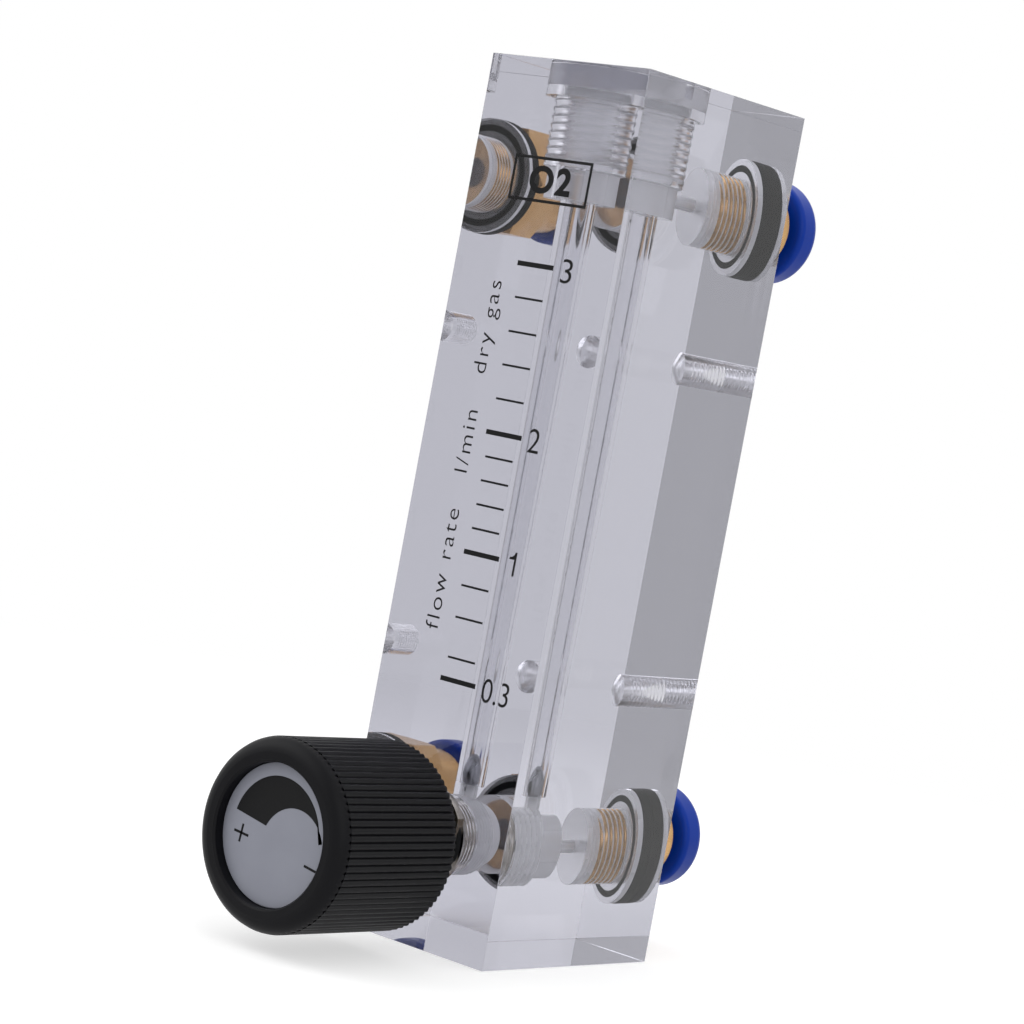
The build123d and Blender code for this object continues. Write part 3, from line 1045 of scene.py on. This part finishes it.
    def build_plug(self, finishes: Finishes) -> None:
        """Makes the screw plug with its slotted head."""
        outline = [
            (self.plug_thread.radius - self.plug_nose, self.plug_thread.start - self.plug_nose),
            *self.plug_thread.wall(),
            *steps(self.plug_thread.end + HAIR, (self.plug_head, BLOCK_HEIGHT)),
        ]
        solid = self.plug_thread.wind(ease(turned(outline), self.plug_edge))
        half, slot_floor = self.slot_width / 2, BLOCK_HEIGHT - self.slot_depth
        slot = box((-self.slot_reach, -half, slot_floor), (self.slot_reach, half, BLOCK_HEIGHT + REACH))
        solid = placed(combined(solid, [slot]), Line.BORE)
        labels = ("meter_body", "clear_acrylic", "top_plug")
        make_piece("screw_plug", solid, finishes.acrylic, *labels, self.plug_tooling)

    def build(self, frame: dict, finishes: Finishes) -> None:
        """Makes the block and the plug, and dresses the plug's seal."""
        self.build_block(finishes)
        self.build_plug(finishes)
        dress(frame, ["top_plug_seal"], finishes.silicone)


@dataclass
class Scale:
    """The print on the block's front face, in mm: x to the right, z up."""

    ink: float = 0.02
    sunk: float = 0.004
    long_tick: Point = (-2.38, 3.36)
    short_tick: Point = (-1.8, 2.65)
    long_width: float = 0.62
    short_width: float = 0.27
    long_ticks: tuple[float, ...] = (85.6, 64.45, 49.36, 33.4)
    short_ticks: tuple[float, ...] = (81.4, 77.15, 72.95, 68.7, 61.4, 58.4, 55.4, 52.4, 45.2, 41.2, 36.15)
    numerals: tuple[tuple[str, float, float, float], ...] = (
        ("3", 4.7, 83.97, 1.65),
        ("2", 4.5, 62.95, 1.75),
        ("1", 4.95, 47.7, 1.1),
        ("0.3", 4.5, 31.8, 4.25),
    )
    numeral_height: float = 2.98
    numeral_weight: float = -0.006
    frame_low: Point = (-5.84, 93.29)
    frame_high: Point = (6.56, 98.91)
    frame_line: float = 0.36
    sign: str = "O2"
    sign_size: Point = (6.6, 3.5)
    sign_weight: float = 0.035
    sign_spacing: float = 1.15
    note: str = "flow rate   l/min   dry gas"
    note_box: tuple[float, float, float, float] = (-6.35, -3.6, 39.0, 83.0)
    note_weight: float = -0.008
    note_spacing: float = 1.2

    def bars(self) -> Solid:
        """Returns the ticks and the frame round the sign, as flat faces in mm."""
        boxes = []
        for ticks, (left, right), width in (
            (self.long_ticks, self.long_tick, self.long_width),
            (self.short_ticks, self.short_tick, self.short_width),
        ):
            boxes += [(left, z - width / 2, right, z + width / 2) for z in ticks]
        (x0, z0), (x1, z1), line = self.frame_low, self.frame_high, self.frame_line
        boxes += [(x0, z0, x1, z0 + line), (x0, z1 - line, x1, z1)]
        boxes += [(x0, z0 + line, x0 + line, z1 - line), (x1 - line, z0 + line, x1, z1 - line)]
        solid = bmesh.new()
        for left, low, right, high in boxes:
            add_bar(solid, ((left + right) / 2, (low + high) / 2), (right - left, high - low))
        bmesh.ops.remove_doubles(solid, verts=solid.verts, dist=MM)
        return solid

    def one(self, low: Point, high: Point) -> Solid:
        """Draws the figure 1 with its flag, which the built-in typeface lacks.

        Args:
            low: lower left corner of its box in mm.
            high: upper right corner of its box in mm.

        Returns:
            One flat face, drawn in x and y in mm.
        """
        stem = ((0.72, 0.0), (1.0, 0.0), (1.0, 1.0), (0.78, 1.0))
        flag = ((0.62, 0.87), (0.36, 0.79), (0.0, 0.77), (0.0, 0.68), (0.72, 0.68))
        (left, foot), width, height = low, high[0] - low[0], high[1] - low[1]
        solid = bmesh.new()
        points = [(left + x * width, foot + y * height, 0.0) for x, y in stem + flag]
        solid.faces.new([solid.verts.new(point) for point in points])
        return solid

    def build(self, finishes: Finishes) -> None:
        """Prints the ticks, the numerals, the framed sign and the note."""
        drawings = {"scale_ticks": self.bars()}
        for i, (text, left, low, width) in enumerate(self.numerals):
            ends = ((left, low), (left + width, low + self.numeral_height))
            drawn = self.one(*ends) if text == "1" else lettering(text, *ends, self.numeral_weight)
            drawings[f"scale_numeral_{i}"] = drawn
        across, up = (0.5 * (a + b) for a, b in zip(self.frame_low, self.frame_high))
        half_width, half_height = (0.5 * size for size in self.sign_size)
        ends = ((across - half_width, up - half_height), (across + half_width, up + half_height))
        drawings["gas_sign"] = lettering(self.sign, *ends, self.sign_weight, self.sign_spacing)
        left, right, foot, top = self.note_box
        note = lettering(self.note, (foot, -right), (top, -left), self.note_weight, self.note_spacing)
        turn(note, 90, "Z")
        drawings["scale_note"] = note
        for name, drawn in drawings.items():
            solid = printed(drawn, FRONT_Y + self.sunk, self.ink + self.sunk)
            make_piece(name, solid, finishes.ink, "meter_body", "black_rubber")


@dataclass
class Valve:
    """The needle valve in the block's foot, in mm."""

    bushing_thread: Thread = Thread(4.98, -15.85, -10.5)
    bushing_inner: float = -10.0
    bushing_edge: float = 0.15
    thread_root: float = 0.5
    neck: float = 5.93
    flange_front: float = -17.95
    flange_radius: float = 6.4
    nose_front: float = -23.15
    nose_radius: float = 4.5
    flat_width: float = 11.0
    flat_reach: float = 8.0
    gland_radius: float = 3.1
    needle_tip: float = -5.75
    needle_tip_radius: float = 0.3
    needle_root: float = -8.45
    neck_end: float = -11.25
    neck_radius: float = 1.2
    shoulder_end: float = -12.95
    shank_radius: float = 2.95
    ring_station: float = -17.2
    groove_radius: float = 2.12
    groove_half: float = 0.65
    stem_thread: Thread = Thread(3.0, -29.45, -19.4, 1.0, 0.5)
    step: float = 0.1
    end_radius: float = 2.4
    screw_depth: float = 6.4
    stem_flat: float = 1.9
    stem_sides: int = 64

    def build_bushing(self, finishes: Finishes) -> None:
        """Makes the threaded bushing with its flange and nose."""
        outline = [
            (self.gland_radius, self.bushing_inner),
            (self.bushing_thread.radius - self.thread_root, self.bushing_inner),
            *reversed(self.bushing_thread.wall()),
            *steps(
                self.bushing_thread.start,
                (self.neck, FRONT_Y - HAIR),
                (self.flange_radius, self.flange_front),
                (self.nose_radius, self.nose_front),
            ),
            (self.gland_radius, self.nose_front),
        ]
        solid = self.bushing_thread.wind(ease(turned(outline, ring=True), self.bushing_edge))
        half, wide = self.flat_width / 2, self.flat_reach
        low, high = self.flange_front - self.step, FRONT_Y + HAIR
        sides = ((-wide, -half), (half, wide))
        flats = [box((left, -wide, low), (right, wide, high)) for left, right in sides]
        solid = placed(combined(solid, flats), Line.VALVE, VALVE_HEIGHT)
        make_piece("bushing", solid, finishes.nickel, "meter_body", "nickel_plate", "valve_bushing")

    def build_stem(self, finishes: Finishes) -> None:
        """Makes the stem: needle, neck, shank with its ring groove, thread and flatted end."""
        outline = [
            (self.needle_tip_radius, self.needle_tip),
            *steps(self.needle_root, (self.neck_radius, self.neck_end)),
            *steps(
                self.shoulder_end,
                (self.shank_radius, self.ring_station + self.groove_half),
                (self.groove_radius, self.ring_station - self.groove_half),
                (self.shank_radius, self.stem_thread.end + self.step),
            ),
            *reversed(self.stem_thread.wall()),
            *steps(
                self.stem_thread.start - self.step,
                (self.end_radius, STEM_END),
                (SCREW_HOLE, STEM_END + self.screw_depth),
            ),
        ]
        solid = self.stem_thread.wind(turned(outline, self.stem_sides))
        # On the valve line the solid's own -Y becomes +Z, where the flat is.
        wide, root = self.stem_thread.radius, self.stem_thread.start - self.step
        flat = box((-wide, -wide, STEM_END - REACH), (wide, -self.stem_flat, root))
        solid = placed(combined(solid, [flat]), Line.VALVE, VALVE_HEIGHT)
        make_piece("stem", solid, finishes.steel, "knob", "stem_steel", "valve_stem")

    def build(self, frame: dict, finishes: Finishes) -> None:
        """Makes bushing and stem, and dresses the two rings."""
        self.build_bushing(finishes)
        self.build_stem(finishes)
        dress(frame, ["bushing_seal", "stem_oring"], finishes.rubber)


@dataclass
class Knob:
    """The ribbed knob with its label, in mm."""

    radius: float = 11.65
    front: float = -45.5
    back: float = -24.6
    rim_round: float = 1.9
    rim_steps: int = 6
    back_bevel: Point = (0.3, 0.35)
    rib_count: int = 80
    rib_depth: float = 0.34
    rib_start: float = -43.7
    rib_lead: float = 0.3
    rib_squareness: float = 0.7
    wall: float = 0.5
    rib_segments: int = 8
    recess: float = 8.6
    recess_bevel: float = 0.25
    label_back: float = -43.8
    label_front: float = -44.1
    label_radius: float = 8.55
    label_edge: float = 0.12
    hub_radius: float = 7.0
    pocket_radius: float = 9.85
    pocket_floor: float = -37.6
    nose_radius: float = 5.2
    nose_floor: float = -30.8
    stem_radius: float = 2.45
    screw_pocket: float = 3.05
    screw_seat: float = -41.6
    web: float = 1.2
    web_span: Point = (5.0, 12.0)
    ink: float = 0.025
    ink_sunk: float = 0.005
    arc_outer: float = 6.95
    arc_inner: float = 4.95
    arc_inner_middle: Point = (2.9, -1.2)
    arc_angles: Point = (167.0, 4.0)
    arc_foot: Point = (-4.75, 2.0)
    arc_steps: int = 40
    marks: tuple[tuple[Point, Point, float], ...] = (
        ((-5.36, -1.0), (2.4, 0.3), -5.0),
        ((-5.36, -1.0), (0.3, 2.2), -5.0),
        ((6.3, -2.5), (2.0, 0.3), -8.0),
    )

    def flute(self, solid: Solid) -> None:
        """Draws the outer wall in between the ribs, from behind the rim to the back edge."""
        for vert in solid.verts:
            station = vert.co.z / MM
            radius = vert.co.xy.length / MM
            if radius < self.radius - self.wall or station < self.rib_start:
                continue
            angle = self.rib_count / 2 * math.atan2(vert.co.y, vert.co.x)
            scale = 1.0 - self.rib_depth * (1.0 - abs(math.sin(angle)) ** self.rib_squareness) / radius
            vert.co.x *= scale
            vert.co.y *= scale

    def pocket(self) -> Solid:
        """Returns the cutter for the hollow between hub and wall, which leaves four webs."""
        floor, top = self.pocket_floor, self.back + REACH
        outline = [(self.hub_radius, floor), *steps(floor, (self.pocket_radius, top)), (self.hub_radius, top)]
        half, (inner, outer) = self.web / 2, self.web_span
        webs = []
        for degrees in (45, 135, 225, 315):
            web = box((inner, -half, floor - REACH), (outer, half, top + REACH))
            turn(web, degrees, "Z")
            webs.append(web)
        return combined(turned(outline, ring=True), webs)

    def build_knob(self, finishes: Finishes) -> None:
        """Makes the knob."""
        rim = [
            (
                self.radius - self.rim_round + self.rim_round * math.sin(angle),
                self.front + self.rim_round * (1.0 - math.cos(angle)),
            )
            for angle in spread(0.0, math.pi / 2, self.rim_steps)
        ]
        outline = [
            *steps(
                STEM_END,
                (SCREW_HOLE, self.screw_seat),
                (self.screw_pocket, self.label_back),
                (self.recess, self.front + self.recess_bevel),
            ),
            (self.recess + self.recess_bevel, self.front),
            *rim,
            (self.radius, self.rib_start - RUN_OUT),
            (self.radius, self.rib_start + self.rib_lead),
            (self.radius, self.back - self.back_bevel[1]),
            (self.radius - self.back_bevel[0], self.back),
            *steps(self.back, (self.nose_radius, self.nose_floor), (self.stem_radius, STEM_END)),
        ]
        solid = turned(outline, self.rib_count * self.rib_segments, ring=True)
        self.flute(solid)
        solid = placed(combined(solid, [self.pocket()]), Line.VALVE, VALVE_HEIGHT)
        make_piece("grip_knob", solid, finishes.black_abs, "knob", "knob_black", "knob")

    def build_label(self, finishes: Finishes) -> None:
        """Makes the label disc and its print: a tapering arc between a plus and a minus."""
        disc = turned(steps(self.label_back - HAIR, (self.label_radius, self.label_front)))
        solid = placed(ease(disc, self.label_edge), Line.VALVE, VALVE_HEIGHT)
        make_piece("label_disc", solid, finishes.label_film, "knob", "label_grey", "knob_label")
        solid = printed(self.label_drawing(), self.label_front + self.ink_sunk, self.ink, VALVE_HEIGHT)
        make_piece("label_print", solid, finishes.ink, "knob", "knob_black")

    def label_drawing(self) -> Solid:
        """Returns the label's arc and marks, as flat faces in mm round the knob's axis."""
        start, end = (math.radians(angle) for angle in self.arc_angles)
        middle = Vector(self.arc_inner_middle)
        rim = [
            Vector((self.arc_outer * math.cos(angle), self.arc_outer * math.sin(angle)))
            for angle in spread(start, end, self.arc_steps)
        ]
        first = math.atan2(self.arc_foot[1], self.arc_foot[0])
        last = math.atan2(rim[-1].y - middle.y, rim[-1].x - middle.x)
        hollow = [
            middle + self.arc_inner * Vector((math.cos(angle), math.sin(angle)))
            for angle in spread(last, first, self.arc_steps)
        ]
        solid = bmesh.new()
        solid.faces.new([solid.verts.new((point.x, point.y, 0.0)) for point in rim + hollow])
        for place, size, tilt in self.marks:
            add_bar(solid, place, size, tilt)
        return solid

    def build(self, frame: dict, finishes: Finishes) -> None:
        """Makes knob and label, and dresses the screw under the label."""
        self.build_knob(finishes)
        self.build_label(finishes)
        dress(frame, ["knob_screw"], finishes.nickel)


@dataclass
class Fitting:
    """A push-in fitting in the back face, in mm, with stations counted from that face."""

    port: Port
    thread: Thread = Thread(4.92, -8.9, -0.6)
    thread_tip: float = -9.45
    thread_root: float = 0.5
    barrel_step: float = 0.4
    barrel_edge: float = 0.1
    edge_angle: float = 60.0
    hex_width: float = 14.0
    hex_foot: float = 0.02
    hex_length: float = 5.25
    hex_margin: float = 0.1
    neck_radius: float = 5.8
    neck_bevel: float = 0.5
    neck_end: float = 11.25
    flow_bore: float = 2.0
    tube_bore: float = 3.1
    tube_stop: float = -3.5
    cavity_start: float = 3.0
    cavity_radius: float = 4.75
    bore_sides: int = 64
    seal_inner: float = 4.98
    seal_outer: float = 7.66
    seal_front: float = -3.37
    seal_shoulder: float = -1.15
    seal_back: float = -0.02
    seal_squareness: float = 0.68
    seal_steps: int = 24

    def placed_here(self, solid: Solid) -> Solid:
        """Moves a solid from its own Z axis to this port, stations counted from the back face."""
        shift(solid, (0.0, 0.0, BACK_Y))
        return placed(solid, Line.VALVE, self.port.value)

    def hexagon(self) -> Solid:
        """Returns the hexagon with its corners turned off."""
        corner = self.hex_width / math.sqrt(3)
        cut, margin = corner - self.hex_width / 2, self.hex_margin
        solid = bmesh.new()
        bmesh.ops.create_circle(solid, cap_ends=True, segments=6, radius=corner * MM)
        turn(solid, 30, "Z")
        raised(solid, (0.0, 0.0, 1.0), self.hex_length)
        shift(solid, (0.0, 0.0, self.hex_foot))
        outline = [
            (corner - cut, -margin),
            (corner + margin, cut / 2),
            (corner + margin, self.hex_length - cut / 2),
            (corner - cut, self.hex_length + margin),
        ]
        return combined(solid, [turned(outline)], "INTERSECT")

    def build_body(self, finishes: Finishes) -> None:
        """Makes the brass body."""
        outline = [
            (self.thread.radius - self.thread_root, self.thread_tip),
            *self.thread.wall(),
            *steps(
                self.thread.end + self.barrel_step,
                (self.thread.radius - self.barrel_step, self.hex_length / 2),
                (self.neck_radius, self.neck_end - self.neck_bevel),
            ),
            (self.neck_radius - self.neck_bevel, self.neck_end),
        ]
        barrel = ease(turned(outline), self.barrel_edge, 2, math.radians(self.edge_angle))
        self.thread.wind(barrel)
        outline = steps(
            self.thread_tip - REACH,
            (self.flow_bore, self.tube_stop),
            (self.tube_bore, self.cavity_start),
            (self.cavity_radius, self.neck_end + REACH),
        )
        bore = turned(outline, self.bore_sides)
        solid = self.placed_here(combined(combined(barrel, [self.hexagon()], "UNION"), [bore]))
        name = self.port.label
        labels = ("meter_body", "brass", f"{name}_fitting_body")
        make_piece(f"{name}_brass_body", solid, finishes.brass, *labels)

    def build_seal(self, finishes: Finishes) -> None:
        """Makes the port's rubber ring, which wets the acrylic where it is pressed on it."""
        middle, half = (self.seal_outer + self.seal_inner) / 2, (self.seal_outer - self.seal_inner) / 2
        length = self.seal_shoulder - self.seal_front
        arch = []
        for angle in spread(0.0, math.pi, self.seal_steps):
            across = math.copysign(abs(math.cos(angle)) ** self.seal_squareness, math.cos(angle))
            along = abs(math.sin(angle)) ** self.seal_squareness
            arch.append((middle - half * across, self.seal_shoulder - length * along))
        outline = [(self.seal_inner, self.seal_back), *arch, (self.seal_outer, self.seal_back)]
        solid = turned(outline, ring=True)
        name = self.port.label
        labels = ("meter_body", "black_rubber", f"{name}_port_seal")
        make_piece(f"{name}_face_seal", self.placed_here(solid), finishes.rubber, *labels)

    def build(self, frame: dict, finishes: Finishes) -> None:
        """Makes body and face seal, and dresses the pieces inside and the release collar."""
        self.build_body(finishes)
        self.build_seal(finishes)
        for part, finish in (
            ("tube_seal", finishes.rubber),
            ("seal_spacer", finishes.white_acetal),
            ("claw_ring", finishes.steel),
            ("claw_holder", finishes.brass),
            ("release_collar", finishes.blue_acetal),
        ):
            dress(frame, [f"{self.port.label}_{part}"], finish)


@dataclass
class Studio:
    """Camera, lamps, surroundings and floor, in mm unless a name says otherwise."""

    camera_at: Place = (240.13, -308.40, 73.378)
    camera_right: Place = (0.7584795, 0.62539742, 0.18326731)
    camera_up: Place = (-0.17220327, -0.07888912, 0.98189742)
    camera_forward: Place = (-0.62853391, 0.7763083, -0.0478597)
    lens: float = 107.85
    sensor: float = 36.0
    ambient: float = 0.62
    card: GreyCard = GreyCard()
    floor_radius: float = 600.0
    floor_gap: float = 0.05
    lamp_aim: Place = (0.0, 0.0, 55.0)
    softboxes_watts: tuple[tuple[str, Place, float, float], ...] = (
        ("key_softbox", (-620.0, -560.0, 620.0), 960.0, 4.6),
        ("fill_softbox", (640.0, -380.0, 420.0), 700.0, 1.5),
        ("top_softbox", (60.0, 260.0, 820.0), 900.0, 2.3),
    )

    def build_camera(self) -> None:
        """Makes the camera at the photograph's angle."""
        camera = bpy.data.cameras.new("camera")
        camera.sensor_width = self.sensor
        camera.lens = self.lens
        camera.clip_start = 0.01
        camera.clip_end = 50.0
        made = bpy.data.objects.new("camera", camera)
        axes = [Vector(self.camera_right), Vector(self.camera_up), -Vector(self.camera_forward)]
        angle = Matrix(axes).transposed().to_4x4()
        made.matrix_world = Matrix.Translation(Vector(self.camera_at) * MM) @ angle
        bpy.context.scene.collection.objects.link(made)
        bpy.context.scene.camera = made

    def build_lamp(self, name: str, place: Place, size: float, watts: float) -> None:
        """Makes a square softbox that faces the middle of the block.

        Args:
            name: its name.
            place: where it stands.
            size: its side.
            watts: its power.
        """
        light = bpy.data.lights.new(name, "AREA")
        light.shape = "SQUARE"
        light.size = size * MM
        light.energy = watts
        made = bpy.data.objects.new(name, light)
        at, aim = Vector(place) * MM, Vector(self.lamp_aim) * MM
        made.rotation_mode = "QUATERNION"
        made.rotation_quaternion = (aim - at).to_track_quat("-Z", "Y")
        made.location = at
        made.visible_camera = False
        bpy.context.scene.collection.objects.link(made)

    def build_world(self) -> None:
        """Makes plain white surroundings with one grey card, which the camera doesn't see."""
        world = bpy.data.worlds.new("white_room")
        world.use_nodes = True
        tree = world.node_tree
        tree.nodes.clear()
        white = (1.0, 1.0, 1.0, 1.0)
        way = add_node(tree, "TexCoord").outputs["Generated"]
        card = add_node(tree, "Mix", inputs={0: self.card.share(tree, way), 2: 1.0, 3: self.card.tone})
        camera = add_node(tree, "LightPath").outputs["Is Camera Ray"]
        tone = add_node(tree, "Mix", inputs={0: camera, 2: card.outputs[0], 3: 1.0})
        room, backdrop = (
            add_node(tree, "Background", inputs={"Color": white, "Strength": strength}).outputs[0]
            for strength in (self.ambient, tone.outputs[0])
        )
        both = add_node(tree, "MixShader", inputs={0: seen_directly(tree), 1: room, 2: backdrop})
        out = add_node(tree, "OutputWorld", inputs={"Surface": both.outputs[0]})
        out.is_active_output = True
        bpy.context.scene.world = world

    def build_floor(self) -> None:
        """Makes the floor."""
        solid = bmesh.new()
        bmesh.ops.create_circle(solid, cap_ends=True, segments=ROUND, radius=self.floor_radius * MM)
        shift(solid, (0.0, 0.0, -self.floor_gap))
        floor = as_object("floor", solid)
        floor.data.materials.append(StudioFloor(self.card).material())

    def build(self) -> None:
        """Makes everything that isn't the object."""
        self.build_camera()
        self.build_world()
        self.build_floor()
        for lamp in self.softboxes_watts:
            self.build_lamp(*lamp)
        scene = bpy.context.scene
        scene.view_settings.view_transform = "Standard"
        # Light crosses many faces of the block, so it is followed further than by default.
        scene.cycles.max_bounces = 24
        scene.cycles.glossy_bounces = 16
        scene.cycles.transmission_bounces = 20


def main() -> None:
    """Builds the flow meter and its studio in order."""
    logging.basicConfig(level=logging.INFO, format="%(name)s: %(message)s")
    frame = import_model()
    finishes = Finishes()
    Studio().build()
    Block().build(frame, finishes)
    Scale().build(finishes)
    Valve().build(frame, finishes)
    Knob().build(frame, finishes)
    for port in Port:
        Fitting(port).build(frame, finishes)
    # The float's darker steel is painted shade, for the dark surroundings that it reflects in the bore.
    dress(frame, ["float"], finishes.float_steel)


if __name__ == "__main__":
    main()
